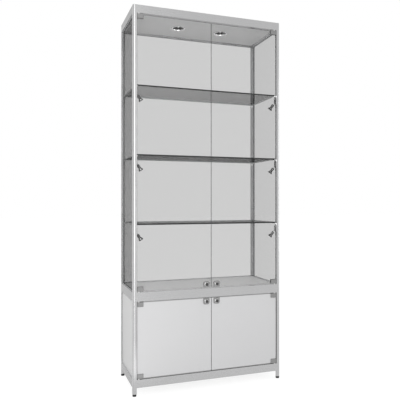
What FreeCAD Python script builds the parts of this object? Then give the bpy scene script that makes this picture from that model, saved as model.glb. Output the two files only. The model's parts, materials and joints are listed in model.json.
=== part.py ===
import FreeCAD, Part
import math
import os

V = FreeCAD.Vector

# Glass showcase on an aluminium frame: a glazed display part over a cupboard.
# Millimetres, +Z up, front towards -Y, origin on the floor under the middle.

# Whole object
cabinet_width = 900.0
cabinet_depth = 370.0
cabinet_height = 2150.0
foot_height = 12.0

# Posts and rails, all extruded
post_size = 22.0
post_corner_radius = 11.0
front_post_bevel_width = 6.5
front_post_bevel_depth = 8.0
wall = 2.0
groove_width = 5.6
groove_depth = 5.0
rail_depth = 20.0
rail_edge_radius = 1.2
ledge_width = 10.0
ledge_thickness = 2.0
top_rail_height = 45.0
middle_rail_height = 52.0
bottom_rail_height = 45.0
bottom_rail_base = 46.0
middle_rail_base = 518.0

# Rail connectors and post inserts
connector_width = 10.0
connector_height = 14.0
connector_length = 24.0
connector_stud_diameter = 5.0
connector_stud_end = 1.0
stud_clearance = 0.2
insert_clearance = 0.1
socket_length = 30.0
cap_thickness = 2.0
cap_plug_length = 6.0

# Panels and glass
pane_thickness = 5.0
pane_engagement = 4.5
board_thickness = 16.0
ceiling_thickness = 4.0
panel_clearance = 0.3
ceiling_recess = 6.0
roof_recess = 2.0
deck_recess = 2.0
floor_recess = 3.0

# Shelves
shelf_thickness = 8.0
shelf_corner_radius = 4.0
shelf_side_gap = 3.0
shelf_front_inset = 25.0
shelf_rear_gap = 3.0
shelf_count = 3
bottom_bay = 369.0
shelf_pitch = 386.0

# Shelf supports
support_front_inset = 4.0
support_plate = 2.0
support_plate_length = 21.0
support_height = 14.0
support_width = 8.0
support_thickness = 3.0
support_tongue_start = 12.0
support_tongue_length = 30.0
support_corner_radius = 2.5

# Doors
door_setback = 4.0
door_side_gap = 3.0
door_end_gap = 6.0
meeting_gap = 3.0
meeting_line_offset = 9.0
pivot_inset = 8.0

# Pivot clamps and their bushes
clamp_width = 34.0
clamp_height = 26.0
clamp_thickness = 13.0
clamp_web = 3.0
clamp_corner_radius = 1.5
pin_diameter = 6.0
pin_engagement = 7.0
running_clearance = 0.05
turning_gap = 0.2
bush_length = 8.0
bush_wall = 1.2
bush_flange_diameter = 12.0
press_clearance = 0.02

# Cylinder locks
lock_plate_width = 37.0
lock_plate_height = 34.0
lock_plate_thickness = 3.5
lock_plate_radius = 9.0
lock_plate_edge_radius = 1.5
lock_meeting_inset = 30.0
lock_sleeve_diameter = 19.6
lock_hole_clearance = 0.2
lock_rear_diameter = 26.0
lock_rear_thickness = 3.0
lock_tail_diameter = 16.0
knob_diameter = 18.0
knob_length = 10.0
knob_chamfer = 1.5
barrel_diameter = 12.0
key_slot_width = 1.8
key_slot_height = 8.0
key_slot_depth = 3.0
cam_length = 30.0
cam_width = 12.0
cam_thickness = 3.0
cam_radius = 2.5
cam_rail_gap = 0.6
cam_clearance = 1.0
lock_nut_diameter = 16.0
lock_nut_thickness = 3.0

# Small spotlights under the shelves
spot_drop = 48.0
spot_post_gap = 6.0
spot_set_back = 22.8
spot_turn_angle = 20.0
spot_drop_angle = 53.0
spot_plate_inset = 4.0
spot_plate_width = 24.0
spot_plate_height = 37.0
spot_plate_below = 4.0
spot_plate_thickness = 2.0
ear_radius = 3.5
ear_thickness = 2.0
ear_gap = 0.3
lug_thickness = 4.4
knuckle_pin_diameter = 2.5
spot_body_start = 7.0
spot_body_length = 16.0
spot_body_diameter = 16.0
spot_rib_count = 3
spot_rib_depth = 0.8
spot_neck_length = 2.0
spot_neck_diameter = 13.0
spot_flare_length = 16.0
spot_rim_diameter = 28.0
spot_shell = 1.2
spot_lamp_diameter = 9.0
spot_lamp_length = 8.0

# Recessed downlights
downlight_spread = 136.0
downlight_flange_diameter = 84.0
downlight_flange_thickness = 1.5
downlight_body_diameter = 72.0
downlight_body_height = 25.0
downlight_shell = 1.5
downlight_hole_clearance = 0.3
gimbal_gap = 3.5
gimbal_ring_width = 8.0
gimbal_ring_height = 7.0
gimbal_pivot_rise = 6.0
gimbal_shell = 1.5
gimbal_back_diameter = 28.0
gimbal_back_height = 10.0
gimbal_pin_diameter = 3.0
lens_diameter = 20.0
lens_height = 5.0
lead_boss_size = 8.0
lead_boss_length = 5.0

# Transformer and leads above the ceiling
transformer_length = 120.0
transformer_width = 44.0
transformer_height = 22.0
transformer_radius = 4.0
transformer_ear = 12.0
transformer_ear_thickness = 3.0
transformer_hole_diameter = 4.0
lead_diameter = 3.0
lead_offset = 9.0
lead_clearance = 0.1
bend_reach_share = 0.45
gland_bore = 7.0
gland_neck_diameter = 12.0
gland_flange_diameter = 18.0
gland_side_inset = 150.0
gland_rear_inset = 45.0

# Levelling feet
foot_diameter = 22.0
foot_edge = 1.5
foot_stud_diameter = 6.0
foot_stud_length = 26.0

# Planes that the pieces share
lock_overhang = knob_length + turning_gap + lock_plate_thickness - door_setback
front_y = (lock_overhang - cabinet_depth) / 2
back_y = front_y + cabinet_depth
half_width = cabinet_width / 2
inner_x = half_width - post_size
front_post_back = front_y + post_size
rear_post_front = back_y - post_size
panel_line = post_size / 2
top_rail_base = cabinet_height - top_rail_height
middle_rail_top = middle_rail_base + middle_rail_height
bottom_rail_top = bottom_rail_base + bottom_rail_height
connector_stud_length = groove_depth + wall + connector_stud_end
post_bottom = foot_height + turning_gap
post_top = cabinet_height - cap_thickness

ceiling_base = top_rail_base + ceiling_recess
roof_base = cabinet_height - roof_recess - ceiling_thickness
deck_top = middle_rail_top - deck_recess
deck_base = deck_top - board_thickness
floor_top = bottom_rail_top - floor_recess
floor_base = floor_top - board_thickness

pane_front = front_y + door_setback
pane_back = pane_front + pane_thickness
pane_middle = pane_front + pane_thickness / 2
door_edge = inner_x - door_side_gap
pivot_x = door_edge - pivot_inset
clamp_gap = door_end_gap - clamp_web

lock_plate_front = pane_front - lock_plate_thickness
lock_rear_face = pane_back + lock_rear_thickness
cam_front = front_y + rail_depth + cam_rail_gap
cam_back = cam_front + cam_thickness

upper_pane_bottom = middle_rail_top + door_end_gap
upper_pane_top = top_rail_base - door_end_gap
lower_pane_bottom = bottom_rail_top + door_end_gap
lower_pane_top = middle_rail_base - door_end_gap
upper_lock_z = upper_pane_bottom + lock_plate_height / 2
lower_lock_z = lower_pane_top - lock_plate_height / 2

shelf_heights = [deck_top + bottom_bay + shelf_pitch * n for n in range(shelf_count)]
shelf_names = ["lower", "middle", "upper"]
side_names = {-1: "left", 1: "right"}
corners = {"front": (front_y, 1), "rear": (back_y, -1)}

os.makedirs("parts", exist_ok=True)


def save(name, *solids):
    shape = solids[0] if len(solids) == 1 else Part.makeCompound(list(solids))
    shape.exportStep("parts/" + name + ".step")


def rounded_wire(outline):
    # Closed outline through (point, radius) corners; a radius of 0 stays sharp.
    edges = []
    count = len(outline)
    joins = []
    for i in range(count):
        corner, radius = outline[i]
        if radius == 0:
            joins.append((corner, None, corner))
            continue
        before = outline[i - 1][0] - corner
        after = outline[(i + 1) % count][0] - corner
        half_angle = before.getAngle(after) / 2
        before.normalize()
        after.normalize()
        middle = before + after
        middle.normalize()
        reach = radius / math.tan(half_angle)
        centre = corner + middle * (radius / math.sin(half_angle))
        joins.append((corner + before * reach, centre - middle * radius, corner + after * reach))
    for i in range(count):
        start, through, end = joins[i]
        if through is not None:
            edges.append(Part.Arc(start, through, end).toShape())
        following = joins[(i + 1) % count][0]
        edges.append(Part.LineSegment(end, following).toShape())
    return Part.Wire(edges)


def extruded(outline, sweep):
    return Part.Face(rounded_wire(outline)).extrude(sweep)


def turned(profile, origin, along, out):
    # A (distance along, radius) outline turned about the line from origin.
    points = [origin + along * s + out * r for s, r in profile]
    face = Part.Face(Part.makePolygon(points + points[:1]))
    return face.revolve(origin, along, 360)


def box(x_range, y_range, z_range):
    corner = V(min(x_range), min(y_range), min(z_range))
    sizes = [max(r) - min(r) for r in (x_range, y_range, z_range)]
    return Part.makeBox(*sizes, corner)


def rod(diameter, start, end):
    along = end - start
    return Part.makeCylinder(diameter / 2, along.Length, start, along)


def both(centre, width):
    return (centre - width / 2, centre + width / 2)


def fused(first, *others):
    return first.multiFuse(list(others)).removeSplitter()


# Posts: a rounded outer corner, glazing grooves on the lines of the panels, one open chamber.
# The front posts have a bevelled inner corner, which clears the view past them.
def post_points(side, outer_y, inward, height):
    def at(u, v):
        return V(side * (half_width - u), outer_y + inward * v, height)
    return at


def post_outline(at, rear_groove):
    low = panel_line - groove_width / 2
    high = panel_line + groove_width / 2
    floor = post_size - groove_depth
    points = [(at(0, 0), post_corner_radius), (at(post_size, 0), 0)]
    if rear_groove:
        points += [(at(u, v), 0) for u, v in
                   ((post_size, low), (floor, low), (floor, high), (post_size, high))]
        points += [(at(post_size, post_size), 0)]
    else:
        points += [(at(post_size, post_size - front_post_bevel_depth), 0),
                   (at(post_size - front_post_bevel_width, post_size), 0)]
    points += [(at(u, v), 0) for u, v in
               ((high, post_size), (high, floor), (low, floor), (low, post_size), (0, post_size))]
    return points


def post_chamber(at, rear_groove):
    edge = wall
    near = panel_line - groove_width / 2 - edge
    deep = post_size - groove_depth - edge
    points = [(at(edge, edge), post_corner_radius - edge), (at(post_size - edge, edge), 0)]
    if rear_groove:
        points += [(at(post_size - edge, near), 0), (at(deep, near), 0), (at(deep, deep), 0)]
    else:
        points += [(at(post_size - edge, deep - wall), 0), (at(post_size - edge - wall, deep), 0)]
    points += [(at(near, deep), 0), (at(near, post_size - edge), 0), (at(edge, post_size - edge), 0)]
    return points


def post(side, outer_y, inward, rear_groove, joint_heights):
    at = post_points(side, outer_y, inward, post_bottom)
    length = V(0, 0, post_top - post_bottom)
    body = extruded(post_outline(at, rear_groove), length)
    cuts = [extruded(post_chamber(at, rear_groove), length)]
    hole = connector_stud_diameter + 2 * stud_clearance
    reach = post_size - groove_depth - 2 * wall
    for z in joint_heights:
        lift = V(0, 0, z - post_bottom)
        cuts.append(rod(hole, at(reach, panel_line) + lift, at(post_size, panel_line) + lift))
        cuts.append(rod(hole, at(panel_line, reach) + lift, at(panel_line, post_size) + lift))
    return body.cut(cuts)


# Rails: a chamber, glazing grooves where a panel enters, ledges that carry the boards.
def rail_chamber_span(height, groove_below, groove_above):
    low = wall + groove_depth if groove_below else wall
    high = height - wall - groove_depth if groove_above else height - wall
    return low, high


def rail(at, sweep, height, groove_below, groove_above, ledge_tops):
    low = panel_line - groove_width / 2
    high = panel_line + groove_width / 2
    points = [(at(0, 0), rail_edge_radius)]
    if groove_below:
        points += [(at(u, w), 0) for u, w in
                   ((low, 0), (low, groove_depth), (high, groove_depth), (high, 0))]
    points += [(at(rail_depth, 0), 0)]
    reach = rail_depth + ledge_width
    for top in ledge_tops:
        points += [(at(u, w), 0) for u, w in
                   ((rail_depth, top - ledge_thickness), (reach, top - ledge_thickness),
                    (reach, top), (rail_depth, top))]
    points += [(at(rail_depth, height), 0)]
    if groove_above:
        floor = height - groove_depth
        points += [(at(u, w), 0) for u, w in
                   ((high, height), (high, floor), (low, floor), (low, height))]
    points += [(at(0, height), rail_edge_radius)]
    bottom, top = rail_chamber_span(height, groove_below, groove_above)
    chamber = [(at(u, w), 0) for u, w in
               ((wall, bottom), (rail_depth - wall, bottom), (rail_depth - wall, top), (wall, top))]
    return extruded(points, sweep).cut(extruded(chamber, sweep))


def cross_rail(outer_y, inward, base, height, groove_below, groove_above, ledge_tops):
    def at(u, w):
        return V(-inner_x, outer_y + inward * u, base + w)
    return rail(at, V(2 * inner_x, 0, 0), height, groove_below, groove_above, ledge_tops)


def side_rail(side, base, height, groove_below, groove_above, ledge_tops):
    def at(u, w):
        return V(side * (half_width - u), front_post_back, base + w)
    sweep = V(0, rear_post_front - front_post_back, 0)
    body = rail(at, sweep, height, groove_below, groove_above, ledge_tops)
    # Its ledges stop where those of the front and rear rails pass.
    reach = rail_depth + ledge_width
    ledge_x = (side * (half_width - rail_depth), side * (half_width - reach))
    ends = [box(ledge_x, (outer_y + inward * post_size, outer_y + inward * (reach + panel_clearance)),
                (base, base + height)) for outer_y, inward in corners.values()]
    return body.cut(ends)


rail_levels = {
    "top": (top_rail_base, top_rail_height, True, False, [ceiling_base, roof_base]),
    "middle": (middle_rail_base, middle_rail_height, True, True, [deck_base]),
    "bottom": (bottom_rail_base, bottom_rail_height, False, True, [floor_base]),
}


def joint_height(level):
    base, height, groove_below, groove_above, _ = rail_levels[level]
    low, high = rail_chamber_span(height, groove_below, groove_above)
    return base + (low + high) / 2


joint_heights = [joint_height(level) for level in rail_levels]

for side, side_name in side_names.items():
    front_post = post(side, front_y, 1, False, joint_heights)
    save("post_front_" + side_name, front_post)
    rear_post = post(side, back_y, -1, True, joint_heights)
    save("post_rear_" + side_name, rear_post)

bush_diameter = pin_diameter + 2 * running_clearance + 2 * bush_wall


def bush_holes(z_range):
    hole = bush_diameter + 2 * press_clearance
    return [rod(hole, V(side * pivot_x, pane_middle, z_range[0]),
                V(side * pivot_x, pane_middle, z_range[1])) for side in side_names]


rear_rails = []
for level, (base, height, groove_below, groove_above, ledges) in rail_levels.items():
    ledge_tops = [z - base for z in ledges]
    front = cross_rail(front_y, 1, base, height, False, False, ledge_tops)
    if groove_below:
        front = front.cut(bush_holes((base, base + wall)))
    if groove_above:
        front = front.cut(bush_holes((base + height - wall, base + height)))
    save(level + "_rail_front", front)
    rear_rails.append(cross_rail(back_y, -1, base, height, groove_below, groove_above, ledge_tops))
    sides = [side_rail(side, base, height, groove_below, groove_above, ledge_tops)
             for side in side_names]
    save(level + "_side_rails", *sides)
save("rear_rails", *rear_rails)


# Connectors: a block in each rail end with a stud that enters the post.
def connector(end, outward, across):
    half_across = across * (connector_width / 2)
    rise = V(0, 0, connector_height / 2)
    start = end - outward * connector_length - half_across - rise
    outline = [start, start + half_across * 2, end + half_across - rise, end - half_across - rise]
    block = extruded([(p, 0) for p in outline], rise * 2)
    stud = rod(connector_stud_diameter, end, end + outward * connector_stud_length)
    return fused(block, stud)


connectors = []
for z in joint_heights:
    for side in side_names:
        for outer_y, inward in corners.values():
            line_y = outer_y + inward * panel_line
            end = V(side * inner_x, line_y, z)
            connectors.append(connector(end, V(side, 0, 0), V(0, 1, 0)))
            end = V(side * (half_width - panel_line), outer_y + inward * post_size, z)
            connectors.append(connector(end, V(0, -inward, 0), V(1, 0, 0)))
save("rail_connectors", *connectors)


# Post inserts: a threaded socket for each foot below, a flush cap above.
def insert_outline(at):
    edge = wall + insert_clearance
    deep = post_size - groove_depth - edge
    return [(at(edge, edge), post_corner_radius - edge), (at(deep, edge), 0),
            (at(deep, deep), 0), (at(edge, deep), 0)]


def foot_socket(side, outer_y, inward):
    at = post_points(side, outer_y, inward, post_bottom)
    block = extruded(insert_outline(at), V(0, 0, socket_length))
    axis = at(panel_line, panel_line)
    bore = rod(foot_stud_diameter + 2 * running_clearance, axis, axis + V(0, 0, socket_length))
    return block.cut(bore)


def post_cap(side, outer_y, inward):
    at = post_points(side, outer_y, inward, post_top)
    outline = [(at(0, 0), post_corner_radius), (at(post_size, 0), 0),
               (at(post_size, post_size), 0), (at(0, post_size), 0)]
    plate = extruded(outline, V(0, 0, cap_thickness))
    plug = extruded(insert_outline(at), V(0, 0, -cap_plug_length))
    return fused(plate, plug)


# Levelling foot: a dished pad on a threaded stud, drawn as its plain outer cylinder.
def levelling_foot(side, outer_y, inward):
    axis = post_points(side, outer_y, inward, 0)(panel_line, panel_line)
    radius = foot_diameter / 2
    stud = foot_stud_diameter / 2
    profile = [(0, 0), (0, radius - foot_edge), (foot_edge, radius),
               (foot_height - foot_edge, radius), (foot_height, radius - foot_edge),
               (foot_height, stud), (foot_height + foot_stud_length, stud),
               (foot_height + foot_stud_length, 0)]
    return turned(profile, axis, V(0, 0, 1), V(1, 0, 0))


sockets = []
caps = []
for end_name, (outer_y, inward) in corners.items():
    for side, side_name in side_names.items():
        sockets.append(foot_socket(side, outer_y, inward))
        caps.append(post_cap(side, outer_y, inward))
        save("foot_" + end_name + "_" + side_name, levelling_foot(side, outer_y, inward))
save("foot_sockets", *sockets)
save("post_caps", *caps)


# Boards that lie on the ledges, with corners cut out for the posts.
def inset_board(base, thickness):
    x_out = half_width - rail_depth - panel_clearance
    x_in = inner_x - panel_clearance
    front_out = front_y + rail_depth + panel_clearance
    front_in = front_post_back + panel_clearance
    rear_out = back_y - rail_depth - panel_clearance
    rear_in = rear_post_front - panel_clearance
    outline = [(x_in, front_out), (x_in, front_in), (x_out, front_in),
               (x_out, rear_in), (x_in, rear_in), (x_in, rear_out)]
    outline += [(-x, y) for x, y in reversed(outline)]
    return extruded([(V(x, y, base), 0) for x, y in outline], V(0, 0, thickness))


lock_x = {side: meeting_line_offset + side * (meeting_gap / 2 + lock_meeting_inset)
          for side in side_names}

roof = inset_board(roof_base, ceiling_thickness)
gland_x = half_width - gland_side_inset
gland_y = back_y - gland_rear_inset
gland_hole = rod(gland_neck_diameter + 2 * lead_clearance, V(gland_x, gland_y, roof_base),
                 V(gland_x, gland_y, roof_base + ceiling_thickness))
save("roof_panel", roof.cut(gland_hole))

ceiling = inset_board(ceiling_base, ceiling_thickness)
downlight_y = (front_y + back_y) / 2
ceiling_hole = downlight_body_diameter + 2 * downlight_hole_clearance
holes = [rod(ceiling_hole, V(side * downlight_spread, downlight_y, ceiling_base),
             V(side * downlight_spread, downlight_y, ceiling_base + ceiling_thickness))
         for side in side_names]
save("ceiling_panel", ceiling.cut(holes))

# The deck is routed where the upper lock cams swing behind the front rail.
deck = inset_board(deck_base, board_thickness)
swing = 2 * (cam_length + cam_clearance)
routs = [rod(swing, V(lock_x[side], front_y + rail_depth, upper_lock_z),
             V(lock_x[side], cam_back + cam_clearance, upper_lock_z)) for side in side_names]
save("display_deck", deck.cut(routs))
save("cabinet_floor", inset_board(floor_base, board_thickness))


# Fixed panes and panels: their edges stand in the grooves of posts and rails.
def side_pane(side, low, high):
    x_middle = side * (half_width - panel_line)
    return box(both(x_middle, pane_thickness),
               (front_post_back - pane_engagement, rear_post_front + pane_engagement),
               (low - pane_engagement, high + pane_engagement))


def rear_pane(low, high):
    reach = inner_x + pane_engagement
    return box((-reach, reach), both(back_y - panel_line, pane_thickness),
               (low - pane_engagement, high + pane_engagement))


upper_opening = (middle_rail_top, top_rail_base)
lower_opening = (bottom_rail_top, middle_rail_base)
save("side_glasses", *[side_pane(side, *upper_opening) for side in side_names])
save("rear_glass", rear_pane(*upper_opening))
save("cabinet_side_panels", *[side_pane(side, *lower_opening) for side in side_names])
save("cabinet_rear_panel", rear_pane(*lower_opening))


# Shelves lie loose on supports that are screwed to the inner sides of the posts.
def shelf(underside):
    half = half_width - panel_line - pane_thickness / 2 - shelf_side_gap
    front = front_y + shelf_front_inset
    rear = rear_post_front - shelf_rear_gap
    points = [V(-half, front, underside), V(half, front, underside),
              V(half, rear, underside), V(-half, rear, underside)]
    return extruded([(p, shelf_corner_radius) for p in points], V(0, 0, shelf_thickness))


def shelf_support(side, outer_y, inward, start, underside):
    # A plate on the post's side, and a tongue under the shelf that starts behind the door's swing.
    def on_plate(along, down):
        return V(side * inner_x, outer_y + inward * (start + along), underside - down)
    outline = [(on_plate(0, 0), 0), (on_plate(support_plate_length, 0), 0),
               (on_plate(support_plate_length, support_height), support_corner_radius),
               (on_plate(0, support_height), support_corner_radius)]
    plate = extruded(outline, V(-side * support_plate, 0, 0))

    def on_tongue(out, along):
        return V(side * (inner_x - out), outer_y + inward * (start + along), underside)
    tip = support_tongue_start + support_tongue_length
    outline = [(on_tongue(0, support_tongue_start), 0),
               (on_tongue(support_width, support_tongue_start), 0),
               (on_tongue(support_width, tip), support_corner_radius),
               (on_tongue(0, tip), support_corner_radius)]
    return fused(plate, extruded(outline, V(0, 0, -support_thickness)))


supports = []
rear_support_inset = panel_line + pane_thickness / 2 + panel_clearance
for name, underside in zip(shelf_names, shelf_heights):
    save(name + "_shelf", shelf(underside))
    for side in side_names:
        supports.append(shelf_support(side, front_y, 1, support_front_inset, underside))
        supports.append(shelf_support(side, back_y, -1, rear_support_inset, underside))
save("shelf_supports", *supports)


# Door hardware. A pivot clamp is a U section over the pane's end, with a pin on the pivot line.
def pivot_clamp(side, pane_end, away):
    x_out = side * door_edge
    x_in = side * (door_edge - clamp_width)
    front = pane_middle - clamp_thickness / 2
    back = pane_middle + clamp_thickness / 2
    outer = pane_end + away * clamp_web
    inner = outer - away * clamp_height

    def at(y, z):
        return V(x_out, y, z)
    outline = [(at(front, outer), clamp_corner_radius), (at(back, outer), clamp_corner_radius),
               (at(back, inner), clamp_corner_radius), (at(pane_back, inner), 0),
               (at(pane_back, pane_end), 0), (at(pane_front, pane_end), 0),
               (at(pane_front, inner), 0), (at(front, inner), clamp_corner_radius)]
    body = extruded(outline, V(x_in - x_out, 0, 0))
    foot = V(side * pivot_x, pane_middle, outer - away * clamp_web / 2)
    tip = outer + away * (clamp_gap + pin_engagement)
    pin = rod(pin_diameter, foot, V(side * pivot_x, pane_middle, tip))
    return fused(body, pin)


def hinge_bush(side, rail_face, away):
    flange = clamp_gap - turning_gap
    bore = pin_diameter / 2 + running_clearance
    profile = [(-flange, bore), (-flange, bush_flange_diameter / 2), (0, bush_flange_diameter / 2),
               (0, bush_diameter / 2), (bush_length, bush_diameter / 2), (bush_length, bore)]
    return turned(profile, V(side * pivot_x, pane_middle, rail_face), V(0, 0, away), V(1, 0, 0))


# A lock case is clamped through a hole in the pane: plate in front, collar and tail behind.
def lock_case(x, z, far):
    near_radius = lock_plate_edge_radius
    half = lock_plate_width / 2
    rise = lock_plate_height / 2
    outline = [(V(x - half, lock_plate_front, z - far * rise), near_radius),
               (V(x + half, lock_plate_front, z - far * rise), near_radius),
               (V(x + half, lock_plate_front, z + far * rise), lock_plate_radius),
               (V(x - half, lock_plate_front, z + far * rise), lock_plate_radius)]
    plate = extruded(outline, V(0, lock_plate_thickness, 0))
    sleeve = rod(lock_sleeve_diameter, V(x, pane_front, z), V(x, lock_rear_face, z))
    collar = rod(lock_rear_diameter, V(x, pane_back, z), V(x, lock_rear_face, z))
    tail = rod(lock_tail_diameter, V(x, lock_rear_face, z), V(x, cam_front - turning_gap, z))
    bore = rod(barrel_diameter + 2 * running_clearance, V(x, lock_plate_front, z), V(x, cam_front, z))
    return fused(plate, sleeve, collar, tail).cut(bore)


# The barrel carries its cam: sideways when open, behind the rail after a quarter turn.
# All four are alike, so those of the lower doors are upside down.
def lock_barrel(way, x, z):
    knob_front = front_y - lock_overhang
    knob_back = knob_front + knob_length
    knob = knob_diameter / 2
    barrel = barrel_diameter / 2
    nut = lock_nut_diameter / 2
    profile = [(0, 0), (0, knob - knob_chamfer), (knob_chamfer, knob), (knob_length, knob),
               (knob_length, barrel), (cam_back - knob_front, barrel),
               (cam_back - knob_front, nut), (cam_back + lock_nut_thickness - knob_front, nut),
               (cam_back + lock_nut_thickness - knob_front, 0)]
    body = turned(profile, V(x, knob_front, z), V(0, 1, 0), V(1, 0, 0))
    half = cam_width / 2
    outline = [V(x - way * half, cam_front, z - half), V(x + way * cam_length, cam_front, z - half),
               V(x + way * cam_length, cam_front, z + half), V(x - way * half, cam_front, z + half)]
    cam = extruded([(p, cam_radius) for p in outline], V(0, cam_thickness, 0))
    slot = box(both(x, key_slot_width), (knob_front, knob_front + key_slot_depth),
               both(z, key_slot_height))
    return fused(body, cam).cut(slot)


def door_pane(side, low, high, lock_z):
    meeting = meeting_line_offset + side * meeting_gap / 2
    pane = box((meeting, side * door_edge), (pane_front, pane_back), (low, high))
    hole = lock_sleeve_diameter + 2 * lock_hole_clearance
    return pane.cut(rod(hole, V(lock_x[side], pane_front, lock_z), V(lock_x[side], pane_back, lock_z)))


door_rows = {
    "upper": (upper_pane_bottom, upper_pane_top, upper_lock_z, 1, "glass"),
    "lower": (lower_pane_bottom, lower_pane_top, lower_lock_z, -1, "panel"),
}
bushes = []
for row, (low, high, lock_z, far, pane_name) in door_rows.items():
    for side, side_name in side_names.items():
        door = row + "_" + side_name
        save(door + "_door_" + pane_name, door_pane(side, low, high, lock_z))
        save(door + "_hinge_clamps", pivot_clamp(side, low, -1), pivot_clamp(side, high, 1))
        bushes.append(hinge_bush(side, low - door_end_gap, -1))
        bushes.append(hinge_bush(side, high + door_end_gap, 1))
        save(door + "_lock_case", lock_case(lock_x[side], lock_z, far))
        save(door + "_lock_barrel", lock_barrel(far, lock_x[side], lock_z))
save("hinge_bushes", *bushes)


# Spotlights. Each head tilts in a fork on a plate that is screwed to the front post.
def spot_frame(side, underside):
    turn = math.radians(spot_turn_angle)
    drop = math.radians(spot_drop_angle)
    inward = V(-side * math.cos(turn), math.sin(turn), 0)
    up = V(0, 0, 1)
    beam = inward * math.cos(drop) - up * math.sin(drop)
    tilt = inward.cross(up)
    knuckle = V(side * (inner_x - spot_post_gap), front_y + spot_set_back, underside - spot_drop)
    return knuckle, inward, beam, tilt


ear_offset = lug_thickness / 2 + ear_gap


def knuckle_plate(centre, along, tilt, offset, thickness, reach):
    # A tongue with a round end, square to the tilt axis.
    start = centre + tilt * offset
    across = tilt.cross(along)
    outline = [start - across * ear_radius, start + across * ear_radius,
               start + across * ear_radius + along * reach, start - across * ear_radius + along * reach]
    tongue = extruded([(p, 0) for p in outline], tilt * thickness)
    round_end = rod(2 * ear_radius, start, start + tilt * thickness)
    return fused(tongue, round_end)


def spot_bracket(side, underside):
    knuckle, inward, _, tilt = spot_frame(side, underside)
    plate_x = side * inner_x
    plate_front = front_y + spot_plate_inset
    low = knuckle.z - spot_plate_below
    plate = box((plate_x, plate_x - side * spot_plate_thickness),
                (plate_front, plate_front + spot_plate_width), (low, low + spot_plate_height))
    ears = [knuckle_plate(knuckle, -inward, tilt, ear_offset, ear_thickness, 2 * spot_post_gap),
            knuckle_plate(knuckle, -inward, -tilt, ear_offset, ear_thickness, 2 * spot_post_gap)]
    reach = ear_offset + ear_thickness
    pin = rod(knuckle_pin_diameter, knuckle - tilt * reach, knuckle + tilt * reach)
    behind = box((plate_x, plate_x + side * post_size), both(knuckle.y, 2 * post_size),
                 both(knuckle.z, 2 * post_size))
    return fused(plate, pin, *ears).cut(behind)


def spot_head(side, underside):
    knuckle, inward, beam, tilt = spot_frame(side, underside)
    body = spot_body_diameter / 2
    neck = spot_neck_diameter / 2
    rim = spot_rim_diameter / 2
    lamp = spot_lamp_diameter / 2
    body_end = spot_body_start + spot_body_length
    neck_end = body_end + spot_neck_length
    flare_end = neck_end + spot_flare_length
    rib_pitch = spot_body_length / (2 * spot_rib_count + 1)
    profile = [(spot_body_start, 0), (spot_body_start, body)]
    for n in range(spot_rib_count):
        start = spot_body_start + rib_pitch * (2 * n + 1)
        profile += [(start, body), (start, body - spot_rib_depth),
                    (start + rib_pitch, body - spot_rib_depth), (start + rib_pitch, body)]
    profile += [(body_end, body), (body_end, neck), (neck_end, neck), (flare_end, rim),
                (flare_end, rim - spot_shell), (neck_end + spot_shell, neck - spot_shell),
                (neck_end + spot_shell, lamp), (neck_end + spot_lamp_length, lamp),
                (neck_end + spot_lamp_length + lamp / 2, lamp / 2),
                (neck_end + spot_lamp_length + lamp / 2, 0)]
    shell = turned(profile, knuckle, beam, tilt)
    lug = knuckle_plate(knuckle, beam, tilt, -lug_thickness / 2, lug_thickness, spot_body_start)
    bore_start = knuckle - tilt * lug_thickness
    bore = rod(knuckle_pin_diameter + 2 * running_clearance, bore_start, knuckle + tilt * lug_thickness)
    return fused(shell, lug).cut(bore)


brackets = []
for name, underside in zip(shelf_names, shelf_heights):
    for side, side_name in side_names.items():
        brackets.append(spot_bracket(side, underside))
        save("spot_head_" + side_name + "_" + name, spot_head(side, underside))
save("spot_brackets", *brackets)


# Downlights: a flanged can through the ceiling and a gimbal that tilts on two pins.
pivot_z = ceiling_base + gimbal_pivot_rise
can_inner = downlight_body_diameter / 2 - downlight_shell


def downlight_housing(side):
    origin = V(side * downlight_spread, downlight_y, ceiling_base)
    outer = downlight_body_diameter / 2
    flange = downlight_flange_diameter / 2
    top = downlight_body_height
    profile = [(-downlight_flange_thickness, can_inner), (-downlight_flange_thickness, flange),
               (0, flange), (0, outer), (top, outer), (top, 0), (top - downlight_shell, 0),
               (top - downlight_shell, can_inner)]
    can = turned(profile, origin, V(0, 0, 1), V(1, 0, 0))
    boss_y = both(downlight_y, lead_boss_size)
    boss_z = both(lead_z, lead_boss_size)
    centre_x = side * downlight_spread
    boss = box((centre_x, centre_x - side * (outer + lead_boss_length)), boss_y, boss_z)
    core = rod(2 * can_inner, origin, origin + V(0, 0, top - downlight_shell))
    pin_hole = gimbal_pin_diameter + 2 * running_clearance
    pins = rod(pin_hole, V(centre_x, downlight_y - outer, pivot_z), V(centre_x, downlight_y + outer, pivot_z))
    return fused(can, boss.cut(core)).cut(pins)


def downlight_gimbal(side):
    origin = V(side * downlight_spread, downlight_y, pivot_z)
    ring = can_inner - gimbal_gap
    inner = ring - gimbal_ring_width
    half = gimbal_ring_height / 2
    back = gimbal_back_diameter / 2
    lens = lens_diameter / 2
    profile = [(-half, inner), (-half, ring), (half, ring), (half, inner + gimbal_shell),
               (gimbal_back_height, back), (gimbal_back_height, 0),
               (gimbal_back_height - gimbal_shell - lens_height, 0),
               (gimbal_back_height - gimbal_shell - lens_height, lens / 2),
               (gimbal_back_height - gimbal_shell - lens_height / 2, lens),
               (gimbal_back_height - gimbal_shell, lens),
               (gimbal_back_height - gimbal_shell, back - gimbal_shell)]
    body = turned(profile, origin, V(0, 0, 1), V(1, 0, 0))
    reach = V(0, can_inner + downlight_shell / 2, 0)
    inside = V(0, ring - gimbal_ring_width / 2, 0)
    pins = [rod(gimbal_pin_diameter, origin + inside, origin + reach),
            rod(gimbal_pin_diameter, origin - inside, origin - reach)]
    return fused(body, *pins)


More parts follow.
